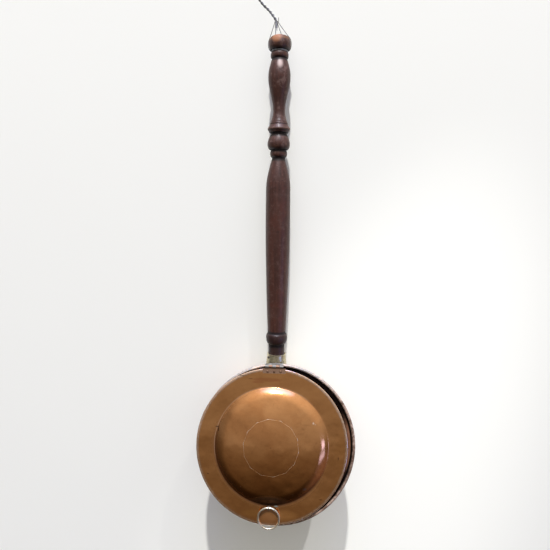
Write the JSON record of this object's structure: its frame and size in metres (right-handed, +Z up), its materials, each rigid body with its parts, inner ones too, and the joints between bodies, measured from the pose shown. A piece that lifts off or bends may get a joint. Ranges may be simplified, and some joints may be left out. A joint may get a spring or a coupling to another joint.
{
  "type": "bed warming pan",
  "caption": "Copper bed warming pan with a domed hinged lid, brass lift ring and a long turned wooden handle, hung from a twisted wire.",
  "frame": {"origin": "centre of the hanging loop, where the nail passes", "axes": "+Z up along the handle, +X to the right, -Y out of the lid towards the viewer"},
  "size_m": [0.3146, 0.141, 1.0298],
  "materials": {
    "pan_copper": "worn copper, dull brown patina",
    "lid_copper": "old polished copper with brown patina",
    "rivet_copper": "hammered copper",
    "brass": "tarnished brass",
    "ring_brass": "handled, pale brass",
    "wood": "dark varnished hardwood",
    "iron": "dark iron",
    "wire": "dull steel wire"
  },
  "bodies": {
    "pan": {"pan_bowl": "pan_copper", "rim_wire": "iron", "socket_plate": "brass", "handle_socket": "brass", "socket_rivets": "brass", "rivet_roves": "rivet_copper", "handle": "wood", "handle_pin": "iron", "rim_hinge_leaf": "brass", "rim_leaf_rivets": "rivet_copper", "hinge_pin": "iron", "neck_wire": "wire", "sling_wires": "wire", "sling_binding": "wire", "wire_tails": "wire", "hanging_wire": "wire", "hanging_loop": "wire"},
    "lid": {"lid": "lid_copper", "lid_edge_wire": "iron", "lid_hinge_leaf": "brass", "lid_leaf_rivets": "rivet_copper", "ring_eye": "brass", "eye_rove": "brass"},
    "ring": {"lift_ring": "ring_brass"}
  },
  "joints": [
    {"name": "lid_hinge", "type": "hinge", "parent": "pan", "child": "lid", "pos_m": [0.047, -0.04584, -0.71814], "axis": [-1, 0, 0], "range_deg": [0, 150]},
    {"name": "ring_swing", "type": "hinge", "parent": "lid", "child": "ring", "pos_m": [0.043, -0.11679, -0.97625], "axis": [-1, 0, 0], "range_deg": [0, 175]}
  ]
}
